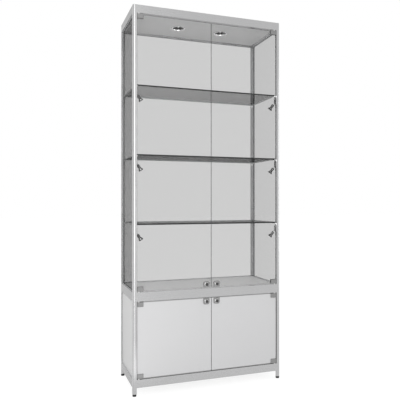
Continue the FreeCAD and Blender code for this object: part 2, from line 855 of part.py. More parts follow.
ceiling_top = ceiling_base + ceiling_thickness
lead_z = ceiling_top + lead_boss_size / 2 + lead_diameter / 2
save("downlight_housings", *[downlight_housing(side) for side in side_names])
for side, side_name in side_names.items():
    save("downlight_gimbal_" + side_name, downlight_gimbal(side))


# Transformer on the ceiling panel between the downlights, and its two lamp leads.
def transformer():
    half = transformer_length / 2
    ear_end = half + transformer_ear
    side = transformer_width / 2
    outline = [V(-half, downlight_y - side, ceiling_top), V(half, downlight_y - side, ceiling_top),
               V(half, downlight_y + side, ceiling_top), V(-half, downlight_y + side, ceiling_top)]
    body = extruded([(p, transformer_radius) for p in outline], V(0, 0, transformer_height))
    ear_y = (downlight_y - side, downlight_y - side + transformer_ear)
    ears = box((-ear_end, ear_end), ear_y, (ceiling_top, ceiling_top + transformer_ear_thickness))
    hole_y = downlight_y - side + transformer_ear / 2
    holes = [rod(transformer_hole_diameter, V(sign * (half + transformer_ear / 2), hole_y, ceiling_top),
                 V(sign * (half + transformer_ear / 2), hole_y, ceiling_top + transformer_ear_thickness))
             for sign in side_names]
    return fused(body, ears).cut(holes)


def lead(points):
    # Straight runs joined by tangent arcs, each as large as its two runs allow.
    edges = []
    start = points[0]
    for before, corner, after in zip(points, points[1:], points[2:]):
        back = before - corner
        ahead = after - corner
        reach = bend_reach_share * min(back.Length, ahead.Length)
        half_angle = back.getAngle(ahead) / 2
        radius = reach * math.tan(half_angle)
        back.normalize()
        ahead.normalize()
        middle = back + ahead
        middle.normalize()
        through = corner + middle * (radius / math.sin(half_angle) - radius)
        edges.append(Part.LineSegment(start, corner + back * reach).toShape())
        edges.append(Part.Arc(corner + back * reach, through, corner + ahead * reach).toShape())
        start = corner + ahead * reach
        print("lead bend radius", round(radius, 1))
    edges.append(Part.LineSegment(start, points[-1]).toShape())
    path = Part.Wire(edges)
    ring = Part.Wire([Part.makeCircle(lead_diameter / 2, points[0], points[1] - points[0])])
    tube = path.makePipeShell([ring], True, False)
    area = math.pi * (lead_diameter / 2) ** 2
    print("lead length", round(path.Length, 1), "volume over section times length",
          round(tube.Volume / (area * path.Length), 4))
    return tube


def lamp_lead(side):
    start_x = transformer_length / 2
    end_x = downlight_spread - downlight_body_diameter / 2 - lead_boss_length
    third = (end_x - start_x) / 3
    route = [(start_x, lead_offset), (start_x + third, lead_offset), (end_x - third, 0), (end_x, 0)]
    return lead([V(side * x, downlight_y + y, lead_z) for x, y in route])


save("lamp_transformer", transformer())
save("lamp_leads", *[lamp_lead(side) for side in side_names])

# Grommet in the roof panel where the supply lead leaves.
neck = gland_neck_diameter / 2
flange = gland_flange_diameter / 2
bore = gland_bore / 2
gland_profile = [(-roof_recess, bore), (-roof_recess, flange), (0, flange), (0, neck),
                 (ceiling_thickness, neck), (ceiling_thickness, flange),
                 (ceiling_thickness + roof_recess, flange), (ceiling_thickness + roof_recess, bore)]
save("mains_gland", turned(gland_profile, V(gland_x, gland_y, roof_base), V(0, 0, 1), V(1, 0, 0)))
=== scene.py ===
import json
import math

import bmesh
import bpy
import numpy as np
from mathutils import Euler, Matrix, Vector


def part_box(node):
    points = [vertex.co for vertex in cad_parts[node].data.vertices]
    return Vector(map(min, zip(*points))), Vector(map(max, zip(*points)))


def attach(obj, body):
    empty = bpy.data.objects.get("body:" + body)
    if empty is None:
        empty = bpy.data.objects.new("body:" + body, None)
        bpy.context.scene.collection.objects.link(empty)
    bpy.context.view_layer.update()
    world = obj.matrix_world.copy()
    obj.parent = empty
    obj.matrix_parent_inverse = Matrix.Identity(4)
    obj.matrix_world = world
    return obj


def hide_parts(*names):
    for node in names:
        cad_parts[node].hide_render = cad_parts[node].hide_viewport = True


# Glass showcase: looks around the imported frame. Metres, front towards -Y.

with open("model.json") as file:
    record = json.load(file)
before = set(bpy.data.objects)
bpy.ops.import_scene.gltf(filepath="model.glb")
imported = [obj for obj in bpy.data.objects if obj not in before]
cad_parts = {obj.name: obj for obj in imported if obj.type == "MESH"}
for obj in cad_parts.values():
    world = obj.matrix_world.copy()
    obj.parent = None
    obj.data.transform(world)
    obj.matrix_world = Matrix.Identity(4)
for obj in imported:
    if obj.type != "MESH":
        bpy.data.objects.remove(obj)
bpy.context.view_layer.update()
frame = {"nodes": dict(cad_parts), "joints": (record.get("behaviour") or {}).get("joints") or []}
nodes = frame["nodes"]
print("stage: frame loaded,", len(nodes), "nodes")


# Shader maths

class Wire:
    # A socket that takes part in sums: 1 - mask * 2 adds the Math nodes that it needs.
    def __init__(self, finish, socket):
        self.finish = finish
        self.socket = socket

    def result(self, operation, *terms):
        return self.finish.node("Math", {"operation": operation}, dict(enumerate(terms)))

    def __add__(self, other):
        return self.result("ADD", self, other)

    def __radd__(self, other):
        return self.result("ADD", other, self)

    def __sub__(self, other):
        return self.result("SUBTRACT", self, other)

    def __rsub__(self, other):
        return self.result("SUBTRACT", other, self)

    def __mul__(self, other):
        return self.result("MULTIPLY", self, other)

    def __rmul__(self, other):
        return self.result("MULTIPLY", other, self)

    def __pow__(self, other):
        return self.result("POWER", self, other)

    def __gt__(self, other):
        return self.result("GREATER_THAN", self, other)

    def __lt__(self, other):
        return self.result("LESS_THAN", self, other)

    def __abs__(self):
        return self.result("ABSOLUTE", self)

    def clamped(self, low, high):
        return self.finish.node("Clamp", {}, {"Value": self, "Min": low, "Max": high})


noiseRough = 0.55  # how much each finer step of a noise keeps of the last


class Finish:
    # A material, or the world, under construction.
    def __init__(self, name, world=False):
        self.made = (bpy.data.worlds if world else bpy.data.materials).new(name)
        self.made.use_nodes = True
        self.tree = self.made.node_tree
        self.tree.nodes.clear()
        self.end = self.tree.nodes.new("ShaderNodeOutputWorld" if world else "ShaderNodeOutputMaterial")

    def node(self, kind, settings, sockets, out=0):
        # Any node: its type, its settings, then values or wires for its sockets.
        made = self.tree.nodes.new("ShaderNode" + kind)
        for name, value in settings.items():
            setattr(made, name, value)
        for name, value in sockets.items():
            if isinstance(value, Wire):
                self.tree.links.new(value.socket, made.inputs[name])
            else:
                made.inputs[name].default_value = value
        return Wire(self, made.outputs[out])

    def place(self, scale=(1, 1, 1)):
        # Object coordinates in metres, scaled.
        where = self.node("TexCoord", {}, {}, out="Object")
        return self.node("Mapping", {}, {"Vector": where, "Scale": scale})

    def axisOf(self, vector, axis):
        return self.node("SeparateXYZ", {}, {"Vector": vector}, out=axis)

    def faces(self, axis):
        # Share of the surface's direction that lies along an axis of the piece, -1 to 1.
        return self.axisOf(self.node("TexCoord", {}, {}, out="Normal"), axis)

    def noise(self, scale, stretch=(1, 1, 1), detail=2.0):
        return self.node("TexNoise", {}, {"Vector": self.place(stretch), "Scale": scale,
                                          "Detail": detail, "Roughness": noiseRough})

    def blend(self, mask, first, second):
        # Two colours by a mask.
        return self.node("Mix", {"data_type": "RGBA"}, {0: mask, 6: first, 7: second}, out=2)

    def bump(self, height, look):
        return self.node("Bump", {}, {"Height": height, "Strength": look["bump"], "Distance": look["depth"]})

    def principled(self, **sockets):
        named = {name.replace("_", " "): value for name, value in sockets.items()}
        return self.node("BsdfPrincipled", {}, named)

    def seen(self):
        # 1 for rays that show the surface itself, to the camera or in glass and metal.
        rays = [self.node("LightPath", {}, {}, out=ray)
                for ray in ("Is Camera Ray", "Is Glossy Ray", "Is Transmission Ray")]
        return (rays[0] + rays[1] + rays[2]).clamped(0.0, 1.0)

    def close(self, shader):
        self.tree.links.new(shader.socket, self.end.inputs["Surface"])
        return self.made


def grey(level, blue=0.0):
    return (level, level, level + blue, 1.0)


# Finishes. Of each look, tones are the two ends of its base colour, and bump and depth its relief.

aluminiumLook = {"tones": (0.97, 1.03), "blue": 0.004, "cloud": 6.0, "streaks": 900.0, "stretch": 0.012,
                 "outerSide": 0.4495, "rough": 0.27, "roughLines": 0.06, "roughCloud": 0.05,
                 "bump": 0.05, "depth": 0.0004}


def anodised(name, along, colour, outerColour=None):
    # Satin anodised extrusion: very fine draw lines along its length, a faint cloud of tone.
    # Side rails may take a darker tone on the cabinet's outer sides, a painted shade.
    look = aluminiumLook
    f = Finish(name)
    stretch = [look["stretch"] if i == along else 1.0 for i in range(3)]
    lines = f.noise(look["streaks"], stretch)
    cloud = f.noise(look["cloud"])
    base = f.blend(cloud, *[grey(colour * tone, look["blue"]) for tone in look["tones"]])
    if outerColour is not None:
        # Painted shade: the rail's outer sides darker than its inner ones.
        outer = abs(f.axisOf(f.place(), "X")) > look["outerSide"]
        base = f.blend(outer, base, grey(outerColour, look["blue"]))
    rough = look["rough"] + look["roughLines"] * (lines - 0.5) + look["roughCloud"] * (cloud - 0.5)
    return f.close(f.principled(Base_Color=base, Metallic=1.0, Roughness=rough, Normal=f.bump(lines, look)))


glassLook = {"darkEdge": (0.02, 0.022, 0.0215, 1.0), "brightEnd": (1.0, 1.0, 1.0, 1.0),
             "green": (1.0, 1.04, 1.03), "faceShare": 0.8, "facing": 0.5, "mirrorHeadOn": 0.04,
             "mirrorPower": 4.0, "smear": 7.0, "soft": 0.02, "softSmear": 0.05, "edgeRough": 0.12,
             "edgeSmear": 0.1, "index": 1.52}


def glass(name, axis, clear, mirror, shine, edge, darkBefore=None, topShine=None):
    # Float glass: clear faces that mirror more at a low angle, and polished edges.
    # A shelf's edges are dark in front, where y stays below darkBefore, and white at its ends as a
    # painted highlight; its top takes a brighter gloss colour, a painted reflection.
    look = glassLook
    f = Finish(name)
    low = f.node("LayerWeight", {}, {"Blend": look["facing"]}, out="Facing")
    mirrored = look["mirrorHeadOn"] + mirror * low ** look["mirrorPower"]
    smear = f.noise(look["smear"])
    through = f.node("BsdfTransparent", {}, {"Color": grey(clear)})
    soft = look["soft"] + look["softSmear"] * smear
    gloss = f.node("BsdfGlossy", {}, {"Color": grey(shine), "Roughness": soft})
    if topShine is not None:
        # Painted reflection: a brighter gloss colour on the faces seen from above.
        paintedTopGloss = f.node("BsdfGlossy", {}, {"Color": grey(topShine), "Roughness": soft})
        gloss = f.node("MixShader", {}, {0: f.faces("Z") > 0.0, 1: gloss, 2: paintedTopGloss})
    pane = f.node("MixShader", {}, {0: mirrored, 1: through, 2: gloss})
    tone = tuple(edge * share for share in look["green"]) + (1.0,)
    if darkBefore is not None:
        # Painted highlight: the shelf's edges white at its ends.
        tone = f.blend(abs(f.faces("X")) > look["faceShare"], tone, look["brightEnd"])
        tone = f.blend(f.axisOf(f.place(), "Y") < darkBefore, tone, look["darkEdge"])
    rim = f.principled(Base_Color=tone, Roughness=look["edgeRough"] + look["edgeSmear"] * smear,
                       IOR=look["index"])
    return f.close(f.node("MixShader", {}, {0: abs(f.faces(axis)) > look["faceShare"], 1: rim, 2: pane}))


paintLook = {"tones": (-0.02, 0.02), "blue": 0.006, "cloud": 1.4, "edge": (0.16, 0.18, 0.175, 1.0),
             "faceShare": 0.8, "wave": 9.0, "rough": 0.38, "roughCloud": 0.04, "index": 1.5,
             "coat": 0.35, "coatRough": 0.06, "bump": 0.02, "depth": 0.001}


def paintedGlass(name, level):
    # White back-painted glass: a smooth clear coat over an even colour, and darker upright edges in a glass
    # tone; the upper and lower edges keep the white, painted light in the shaded gap under the rails.
    look = paintLook
    f = Finish(name)
    cloud = f.noise(look["cloud"], detail=1.0)
    base = f.blend(cloud, *[grey(level + tone, look["blue"]) for tone in look["tones"]])
    # Upright edges dark; the upper and lower edges stay white as painted light.
    base = f.blend(abs(f.faces("X")) > look["faceShare"], base, look["edge"])
    wave = f.noise(look["wave"], detail=1.0)
    return f.close(f.principled(Base_Color=base, Roughness=look["rough"] + look["roughCloud"] * (cloud - 0.5),
                                IOR=look["index"], Coat_Weight=look["coat"],
                                Coat_Roughness=look["coatRough"], Normal=f.bump(wave, look)))


melamineLook = {"tones": (-0.01, 0.012), "cloud": 2.5, "grain": 1400.0, "rough": 0.46, "roughGrain": 0.1,
                "bump": 0.08, "depth": 0.0003}


def melamine(name, level):
    # White coated board: a fine pearl grain.
    look = melamineLook
    f = Finish(name)
    grain = f.noise(look["grain"])
    cloud = f.noise(look["cloud"])
    base = f.blend(cloud, *[grey(level + tone) for tone in look["tones"]])
    return f.close(f.principled(Base_Color=base, Roughness=look["rough"] + look["roughGrain"] * (grain - 0.5),
                                Normal=f.bump(grain, look)))


powderLook = {"tones": (-0.012, 0.012), "cloud": 3.0, "peel": 520.0, "rough": 0.5, "bump": 0.1,
              "depth": 0.0004}


def powderCoat(name, level):
    # White powder coat: a soft orange peel.
    look = powderLook
    f = Finish(name)
    peel = f.noise(look["peel"], detail=1.0)
    cloud = f.noise(look["cloud"])
    base = f.blend(cloud, *[grey(level + tone) for tone in look["tones"]])
    return f.close(f.principled(Base_Color=base, Roughness=look["rough"], Normal=f.bump(peel, look)))


metalLook = {"tones": (0.96, 1.03), "marks": 60.0, "marksDetail": 4.0, "lines": 2600.0, "stretch": 0.03,
             "roughMarks": 0.08, "roughLines": 0.06, "plainBump": 0.05, "brushedBump": 0.16, "depth": 0.0002}


def metal(name, level, rough, brush=None):
    # Plated or turned metal: brushed where a direction is given, with faint handling marks.
    look = {**metalLook, "bump": metalLook["plainBump" if brush is None else "brushedBump"]}
    f = Finish(name)
    marks = f.noise(look["marks"], detail=look["marksDetail"])
    lines = f.noise(look["lines"], [look["stretch"] if i == brush else 1.0 for i in range(3)])
    base = f.blend(marks, *[grey(level * tone) for tone in look["tones"]])
    uneven = look["roughMarks"] * (marks - 0.5) + look["roughLines"] * (lines - 0.5)
    return f.close(f.principled(Base_Color=base, Metallic=1.0, Roughness=rough + uneven,
                                Normal=f.bump(lines, look)))


knobLook = {"side": 0.95, "face": 0.09, "faceY": -0.1872, "inner": 0.42, "innerY": -0.1795, "rough": 0.14}


def knobMetal(name):
    # Lock barrel: a turned knob with a near-white side as a painted highlight, a near-black face before faceY
    # as a painted dark reflection, plain nickel behind innerY.
    look = {**metalLook, **knobLook}
    f = Finish(name)
    marks = f.noise(look["marks"], detail=look["marksDetail"])
    y = f.axisOf(f.place(), "Y")
    # Painted highlight on the knob's side; its face below is a painted dark reflection.
    knobSideHighlight = f.blend(marks, *[grey(look["side"] * tone) for tone in look["tones"]])
    base = f.blend(y < look["innerY"], grey(look["inner"]), knobSideHighlight)
    base = f.blend(y < look["faceY"], base, grey(look["face"]))
    return f.close(f.principled(Base_Color=base, Metallic=1.0,
                                Roughness=look["rough"] + look["roughMarks"] * (marks - 0.5)))


plasticLook = {"dark": 0.9, "cloud": 40.0, "grain": 1800.0, "roughGrain": 0.12, "bump": 0.15, "depth": 0.0003}


def plastic(name, colour, rough):
    # Moulded plastic: a fine spark texture.
    look = plasticLook
    f = Finish(name)
    grain = f.noise(look["grain"])
    cloud = f.noise(look["cloud"])
    darker = tuple(part * look["dark"] for part in colour[:3]) + (1.0,)
    base = f.blend(cloud, darker, colour)
    return f.close(f.principled(Base_Color=base, Roughness=rough + look["roughGrain"] * (grain - 0.5),
                                Normal=f.bump(grain, look)))


castingLook = {"tones": (0.3, 0.42), "grain": 420.0, "detail": 4.0, "metallic": 0.9, "rough": 0.5,
               "roughGrain": 0.2, "bump": 0.3, "depth": 0.0004}


def casting(name):
    # Raw die casting: a coarse grain in tone and relief.
    look = castingLook
    f = Finish(name)
    grain = f.noise(look["grain"], detail=look["detail"])
    base = f.blend(grain, *[grey(tone) for tone in look["tones"]])
    return f.close(f.principled(Base_Color=base, Metallic=look["metallic"],
                                Roughness=look["rough"] + look["roughGrain"] * (grain - 0.5),
                                Normal=f.bump(grain, look)))


frostLook = {"tones": (0.82, 0.9), "frost": 900.0, "rough": 0.3, "roughFrost": 0.1, "coat": 0.5}


def frostedBulb(name):
    # Frosted glass, rougher where the frost is denser.
    look = frostLook
    f = Finish(name)
    frost = f.noise(look["frost"])
    base = f.blend(frost, *[grey(tone) for tone in look["tones"]])
    return f.close(f.principled(Base_Color=base, Roughness=look["rough"] + look["roughFrost"] * frost,
                                Coat_Weight=look["coat"]))


# An extrusion runs along axis 0, 1 or 2, and a brush direction is such an axis too.
finishes = {
    "postAluminium": (anodised, {"along": 2, "colour": 0.465}),
    "frontRailAluminium": (anodised, {"along": 0, "colour": 0.465}),
    # Rear rails: a lighter copy of the aluminium, painted light against the shade at the back.
    "rearRailAluminium": (anodised, {"along": 0, "colour": 0.54}),
    # Side rails: a lighter copy of the aluminium inside as painted light, a darker one outside as painted
    # shade.
    "sideRailAluminium": (anodised, {"along": 1, "colour": 0.6, "outerColour": 0.27}),
    "sideGlass": (glass, {"axis": "X", "clear": 0.838, "mirror": 0.48, "shine": 0.05, "edge": 0.8}),
    "rearGlass": (glass, {"axis": "Y", "clear": 0.848, "mirror": 0.6, "shine": 0.05, "edge": 0.8}),
    "doorGlass": (glass, {"axis": "Y", "clear": 0.995, "mirror": 0.6, "shine": 0.05, "edge": 0.02}),
    # The shelf's brighter top gloss and white edge ends are painted reflection and painted highlight.
    "shelfGlass": (glass, {"axis": "Z", "clear": 0.93, "mirror": 0.72, "shine": 0.08, "edge": 0.75,
                           "darkBefore": -0.13, "topShine": 0.26}),
    "whiteGlass": (paintedGlass, {"level": 0.6}),
    "deckBoard": (melamine, {"level": 0.9}),
    # Side panels: a darker copy of the white board, painted shade.
    "sideBoard": (melamine, {"level": 0.58}),
    "board": (melamine, {"level": 0.74}),
    "ceilingCoat": (powderCoat, {"level": 0.88}),
    "chrome": (metal, {"level": 0.8, "rough": 0.12}),
    "clampNickel": (metal, {"level": 0.27, "rough": 0.3, "brush": 0}),
    "lockPlate": (metal, {"level": 0.28, "rough": 0.26, "brush": 2}),
    "lockKnob": (knobMetal, {}),
    "collarChrome": (metal, {"level": 0.55, "rough": 0.16}),
    "lampNickel": (metal, {"level": 0.13, "rough": 0.32}),
    "plateNickel": (metal, {"level": 0.3, "rough": 0.34, "brush": 2}),
    "downlightChrome": (metal, {"level": 0.5, "rough": 0.1}),
    # Downlight gimbals near black, a painted shade for the dark inside of the can.
    "gimbalNickel": (metal, {"level": 0.1, "rough": 0.2}),
    "blackPlastic": (plastic, {"colour": grey(0.012), "rough": 0.55}),
    "footRubber": (plastic, {"colour": grey(0.004), "rough": 0.85}),
    "padGrey": (plastic, {"colour": grey(0.24), "rough": 0.6}),
    "stripGrey": (plastic, {"colour": grey(0.3), "rough": 0.6}),
    "greyPlastic": (plastic, {"colour": (0.5, 0.51, 0.52, 1.0), "rough": 0.45}),
    "whitePlastic": (plastic, {"colour": (0.78, 0.78, 0.77, 1.0), "rough": 0.42}),
    "connectorCasting": (casting, {}),
    "sealGrey": (plastic, {"colour": (0.6, 0.61, 0.62, 1.0), "rough": 0.5}),
    "screwZinc": (metal, {"level": 0.6, "rough": 0.22}),
    "reflector": (metal, {"level": 0.85, "rough": 0.08}),
    # Spot reflectors darkened to grey, a painted shade inside the spots' mouths.
    "dimReflector": (metal, {"level": 0.3, "rough": 0.2}),
    "bulbGlass": (frostedBulb, {}),
}
finishes = {name: make(name, **values) for name, (make, values) in finishes.items()}

# Which finish each node takes: the first line whose words are in its name.
nodeFinishes = [
    ("lock_case", "lockPlate"),
    ("lock_barrel", "lockKnob"),
    ("hinge_clamps", "clampNickel"),
    ("post_caps", "greyPlastic"),
    ("post_", "postAluminium"),
    ("rail_connectors", "connectorCasting"),
    ("side_rails", "sideRailAluminium"),
    ("rear_rails", "rearRailAluminium"),
    ("rail", "frontRailAluminium"),
    ("side_glasses", "sideGlass"),
    ("rear_glass", "rearGlass"),
    ("door_glass", "doorGlass"),
    ("door_panel", "whiteGlass"),
    ("display_deck", "deckBoard"),
    ("cabinet_side_panels", "sideBoard"),
    ("cabinet_", "board"),
    ("ceiling_panel", "ceilingCoat"),
    ("roof_panel", "ceilingCoat"),
    ("supports", "chrome"),
    ("spot_brackets", "plateNickel"),
    ("spot_", "lampNickel"),
    ("downlight_housings", "downlightChrome"),
    ("downlight_gimbal", "gimbalNickel"),
    ("hinge_bushes", "whitePlastic"),
    ("transformer", "whitePlastic"),
    ("foot_sockets", "blackPlastic"),
    ("foot_", "footRubber"),
    ("lamp_leads", "blackPlastic"),
    ("gland", "blackPlastic"),
    ("_shelf", "shelfGlass"),
]

for name, solid in nodes.items():
    solid.data.materials.clear()
    solid.data.materials.append(finishes[next(finish for words, finish in nodeFinishes if words in name)])
print("stage: finishes,", len(finishes))


# Surfaces

meshLook = {"weld": 2e-6, "degenerate": 1e-7, "solidWeld": 1e-6}


def gridQuads(points, wrapRows=False, wrapColumns=False):
    # A grid of points as one list, with quads between neighbours; a wrapped side meets its start.
    index = np.arange(points.shape[0] * points.shape[1]).reshape(points.shape[:2])
    across = np.roll(index, -1, 1)
    quads = np.stack([index, across, np.roll(across, -1, 0), np.roll(index, -1, 0)], -1)
    quads = quads if wrapRows else quads[:-1]
    quads = quads if wrapColumns else quads[:, :-1]
    return points.reshape(-1, 3), quads.reshape(-1, 4)


def piece(name, surfaces, finish, body, replaced=(), sharp=35.0):
    # Joins surfaces into one mesh, closes poles and seams, and turns its faces outwards.
    starts = np.cumsum([0] + [len(points) for points, _ in surfaces])
    points = np.concatenate([points for points, _ in surfaces])
    quads = np.concatenate([quads + start for (_, quads), start in zip(surfaces, starts)])
    mesh = bpy.data.meshes.new(name)
    mesh.from_pydata(points.tolist(), [], quads.tolist())
    shape = bmesh.new()
    shape.from_mesh(mesh)
    bmesh.ops.remove_doubles(shape, verts=shape.verts, dist=meshLook["weld"])
    bmesh.ops.dissolve_degenerate(shape, edges=shape.edges, dist=meshLook["degenerate"])
    bmesh.ops.recalc_face_normals(shape, faces=shape.faces)
    shape.to_mesh(mesh)
    shape.free()
    mesh.polygons.foreach_set("use_smooth", np.ones(len(mesh.polygons), bool))
    mesh.set_sharp_from_angle(angle=math.radians(sharp))
    made = bpy.data.objects.new(name, mesh)
    bpy.context.scene.collection.objects.link(made)
    mesh.materials.append(finish)
    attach(made, body)
    if replaced:
        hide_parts(*replaced)


def crossAxes(axis):
    # Two unit vectors square to an axis and to each other.
    axis = np.array(axis, float)
    alongX = abs(axis[0]) > 0.9
    first = np.cross(axis, [0, 1.0, 0] if alongX else [1.0, 0, 0])
    first /= np.linalg.norm(first)
    return first, np.cross(axis, first)


def around(origin, axis, along, radius, columns):
    # Turned surface: point = origin + axis * along + (first * cos a + second * sin a) * radius.
    # along and radius hold a row for each step of the profile and may vary over the columns too.
    first, second = crossAxes(axis)
    angle = np.linspace(0, 2 * np.pi, columns, endpoint=False)
    ring = np.cos(angle)[:, None] * first + np.sin(angle)[:, None] * second
    along = np.broadcast_to(np.asarray(along, float).reshape(len(along), -1), (len(along), columns))
    radius = np.broadcast_to(np.asarray(radius, float).reshape(len(radius), -1), (len(radius), columns))
    points = np.array(origin) + along[..., None] * np.array(axis) + radius[..., None] * ring
    return gridQuads(points, wrapColumns=True)


def turnedPiece(origin, axis, profile, columns=48):
    # A closed profile of (along, radius) turned about an axis; a radius of 0 makes a pole.
    profile = np.array(profile, float)
    return around(origin, axis, profile[:, 0], profile[:, 1], columns)


# Shares of a screw head's radius, for its dome and for the two kinds of recess
headLook = {"dome": 0.8, "barHalf": 0.16, "barFade": 0.08, "barEnd": 0.62, "endFade": 0.1,
            "hexHalf": 0.55, "hexFade": 0.06}


def recessedHead(origin, axis, radius, height, recess, depth, rows=14, columns=40):
    # Low domed head: z = height * sqrt(1 - dome * t^2) at share t of the radius, less the depth of
    # its recess, which is a mask of x and y in shares of the radius. Below the rim it drops straight
    # and closes.
    share = np.linspace(0.0, 1.0, rows)[:, None]
    angle = np.linspace(0, 2 * np.pi, columns, endpoint=False)[None, :]
    dent = depth * recess(share * np.cos(angle), share * np.sin(angle))
    z = height * np.sqrt(1 - headLook["dome"] * share ** 2) - dent
    along = np.concatenate([z, np.zeros((2, columns))])
    reach = np.concatenate([np.broadcast_to(share * radius, z.shape), np.full((1, columns), radius),
                            np.zeros((1, columns))])
    return around(origin, axis, along, reach, columns)


def crossRecess(x, y):
    # Both bars of a cross: the smaller of x and y stays under barHalf and the distance under barEnd.
    bar = np.clip((headLook["barHalf"] - np.minimum(abs(x), abs(y))) / headLook["barFade"], 0, 1)
    return bar * np.clip((headLook["barEnd"] - np.hypot(x, y)) / headLook["endFade"], 0, 1)


def hexRecess(x, y):
    # Inside a hexagon: the largest of three slanted distances stays under half its width.
    reach = np.max([abs(x * np.cos(a) + y * np.sin(a)) for a in np.radians([0, 60, 120])], axis=0)
    return np.clip((headLook["hexHalf"] - reach) / headLook["hexFade"], 0, 1)


def solidBoxes(node):
    # Lowest and highest corner of each separate solid in a node.
    shape = bmesh.new()
    shape.from_mesh(nodes[node].data)
    bmesh.ops.remove_doubles(shape, verts=shape.verts, dist=meshLook["solidWeld"])
    shape.verts.ensure_lookup_table()
    places = np.array([v.co for v in shape.verts])
    links = np.array([[v.index for v in e.verts] for e in shape.edges])
    shape.free()
    group = np.arange(len(places))
    while True:
        lower = group.copy()
        np.minimum.at(lower, links[:, 0], group[links[:, 1]])
        np.minimum.at(lower, links[:, 1], group[links[:, 0]])
        lower = lower[lower]
        if (lower == group).all():
            break
        group = lower
    return [(places[group == g].min(0), places[group == g].max(0)) for g in np.unique(group)]


boxOf = {name: tuple(np.array(corner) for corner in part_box(name)) for name in nodes}
jointOf = {joint["child"]: joint for joint in frame["joints"]}
insideX = boxOf["post_front_right"][0][0]  # the posts' inner sides stand at -insideX and insideX


# Glass shelves with ground and polished edges

shelfLook = {"corner": 0.004, "arris": 0.0009, "steps": 8}


def roundedOutline(low, high, radius, inset, steps):
    # Rounded rectangle: each corner's centre plus radius - inset along the turning direction.
    turn = np.linspace(0, np.pi / 2, steps)
    loops = []
    for k, (sx, sy) in enumerate(((1, 1), (-1, 1), (-1, -1), (1, -1))):
        centre = np.array([high[0] - radius if sx > 0 else low[0] + radius,
                           high[1] - radius if sy > 0 else low[1] + radius])
        angle = turn + k * np.pi / 2
        loops.append(centre + (radius - inset) * np.stack([np.cos(angle), np.sin(angle)], -1))
    return np.concatenate(loops)


def roundedSlab(low, high, look):
    # Rows from the middle of the top, over the edge, to the middle of the bottom.
    arris = look["arris"]
    rows = []
    for inset, z in ((arris, high[2]), (0, high[2] - arris), (0, low[2] + arris), (arris, low[2])):
        outline = roundedOutline(low, high, look["corner"], inset, look["steps"])
        rows.append(np.column_stack([outline, np.full(len(outline), z)]))
    middle = (low + high) / 2
    top = np.tile([middle[0], middle[1], high[2]], (len(rows[0]), 1))
    bottom = np.tile([middle[0], middle[1], low[2]], (len(rows[0]), 1))
    return gridQuads(np.array([top] + rows + [bottom]), wrapColumns=True)


def uprightSlab(low, high, look):
    # A rounded slab between two corners, drawn flat and turned up, so that it is round in x and z.
    points, quads = roundedSlab(np.array(low)[[0, 2, 1]], np.array(high)[[0, 2, 1]], look)
    return points[:, [0, 2, 1]], quads


for name in ("upper_shelf", "middle_shelf", "lower_shelf"):
    piece(name + "_glass", [roundedSlab(*boxOf[name], shelfLook)], finishes["shelfGlass"], "cabinet",
          [name], sharp=20.0)
print("stage: shelves")


# Seals where the fixed panes stand in the frame

sealLook = {"width": 0.0016, "height": 0.0014, "paneHalf": 0.0025, "clear": 0.00005, "steps": 5}


def sealFrame(centre, across, upward, outward, halfAcross, halfUpward, look):
    # Quarter-round strip mitred round a rectangle: corner point = centre +- across * (half - d)
    # +- upward * (half - d) + outward * h, with d and h from the profile.
    turn = np.linspace(0, np.pi / 2, look["steps"])
    near = look["paneHalf"] + look["clear"]
    inward = np.concatenate([[0], look["width"] * np.cos(turn)])
    height = np.concatenate([[near], near + look["height"] * np.sin(turn)])
    signs = np.array([[1, 1], [-1, 1], [-1, -1], [1, -1]])
    a = signs[:, :1] * (halfAcross - inward)
    b = signs[:, 1:] * (halfUpward - inward)
    points = (np.array(centre) + a[..., None] * np.array(across) + b[..., None] * np.array(upward)
              + height[:, None] * np.array(outward))
    return gridQuads(points, wrapRows=True, wrapColumns=True)


def sealSet(look):
    # Both faces of the sides and of the rear, in the display and in the cupboard.
    strips = []
    frontY = boxOf["post_front_left"][1][1]
    rearY = boxOf["post_rear_left"][0][1]
    levels = [(boxOf["middle_rail_front"][1][2], boxOf["top_rail_front"][0][2]),
              (boxOf["bottom_rail_front"][1][2], boxOf["middle_rail_front"][0][2])]
    sides = boxOf["side_glasses"]
    rear = boxOf["rear_glass"]
    planeY = (rear[0][1] + rear[1][1]) / 2
    y, halfY = (frontY + rearY) / 2, (rearY - frontY) / 2
    for low, high in levels:
        z, halfZ = (low + high) / 2, (high - low) / 2
        for sign, outerX in ((-1, sides[0][0]), (1, sides[1][0])):
            planeX = outerX - sign * look["paneHalf"]
            for way in (-1, 1):
                strips.append(sealFrame((planeX, y, z), (0, 1, 0), (0, 0, 1), (way, 0, 0), halfY, halfZ,
                                        look))
        for way in (-1, 1):
            strips.append(sealFrame((0, planeY, z), (1, 0, 0), (0, 0, 1), (0, way, 0), insideX, halfZ, look))
    return strips


piece("glazing_seals", sealSet(sealLook), finishes["sealGrey"], "cabinet")
print("stage: seals")


# Screws of the shelf supports and spot brackets

screwLook = {"radius": 0.0027, "height": 0.0014, "depth": 0.0009, "flushHeight": 0.0003, "plate": 0.002,
             "setBack": 0.008, "rearSetBack": 0.004, "supportDrop": 0.0085, "bracketDrops": (0.006, 0.018)}


def crossScrew(origin, axis, height):
    # A domed head with a cross recess.
    return recessedHead(origin, axis, screwLook["radius"], height, crossRecess, screwLook["depth"])


# Flush heads on the plates against the posts' inner sides, clear of the doors' swing
supportScrews = []
for low, high in solidBoxes("shelf_supports"):
    way = 1 if low[0] < 0 else -1
    y = low[1] + screwLook["setBack"] if low[1] < 0 else high[1] - screwLook["rearSetBack"]
    at = (-way * (insideX - screwLook["plate"]), y, high[2] - screwLook["supportDrop"])
    supportScrews.append(crossScrew(at, (way, 0, 0), screwLook["flushHeight"]))
piece("support_screws", supportScrews, finishes["screwZinc"], "cabinet")

